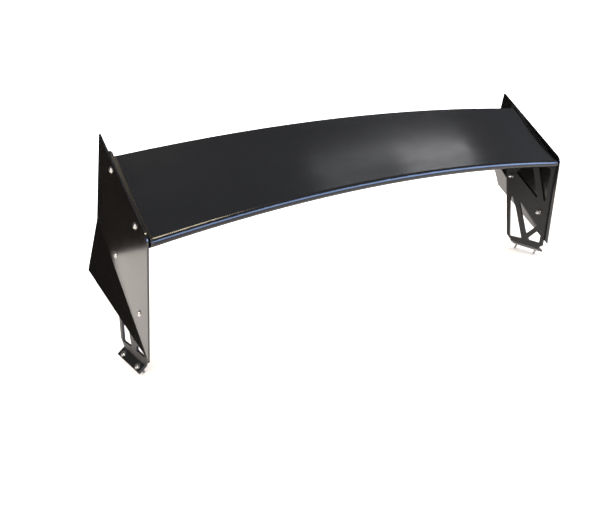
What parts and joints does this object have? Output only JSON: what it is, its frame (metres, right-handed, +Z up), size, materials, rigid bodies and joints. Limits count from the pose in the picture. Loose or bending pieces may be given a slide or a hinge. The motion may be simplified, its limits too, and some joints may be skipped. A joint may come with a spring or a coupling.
{
  "type": "racing rear wing",
  "caption": "Raised rear wing: a swept, arched hollow blade between bent endplates, on truss uprights with folded, bolted feet.",
  "frame": {"origin": "under the middle of the wing's outline, level with the tips of the foot screws", "axes": "+X to the right along the blade, +Y to the rear, +Z up"},
  "size_m": [1.2074, 0.2212, 0.4218],
  "materials": {
    "blade_skin": "satin black paint over laminate",
    "inner_metal": "mill finish",
    "end_rib": "black anodised",
    "sheet": "black powder coat on aluminium sheet",
    "gloss_sheet": "gloss black paint on aluminium sheet",
    "stainless": "polished stainless steel"
  },
  "bodies": {
    "root": {"blade_upper_skin": "blade_skin", "blade_lower_skin": "blade_skin", "blade_spar": "inner_metal", "blade_rib_left": "inner_metal", "blade_rib_middle": "inner_metal", "blade_rib_right": "inner_metal", "blade_end_rib_right": "end_rib", "blade_end_rib_left": "end_rib", "upright_right": "sheet", "upright_left": "sheet", "endplate_right": "gloss_sheet", "endplate_left": "gloss_sheet", "blade_bolts_right": "stainless", "blade_bolts_left": "stainless", "stand_bolts_right": "stainless", "stand_bolts_left": "stainless", "stand_washers_right": "stainless", "stand_washers_left": "stainless", "stand_dome_nuts_right": "stainless", "stand_dome_nuts_left": "stainless", "foot_screws_right": "stainless", "foot_screws_left": "stainless"}
  },
  "joints": []
}
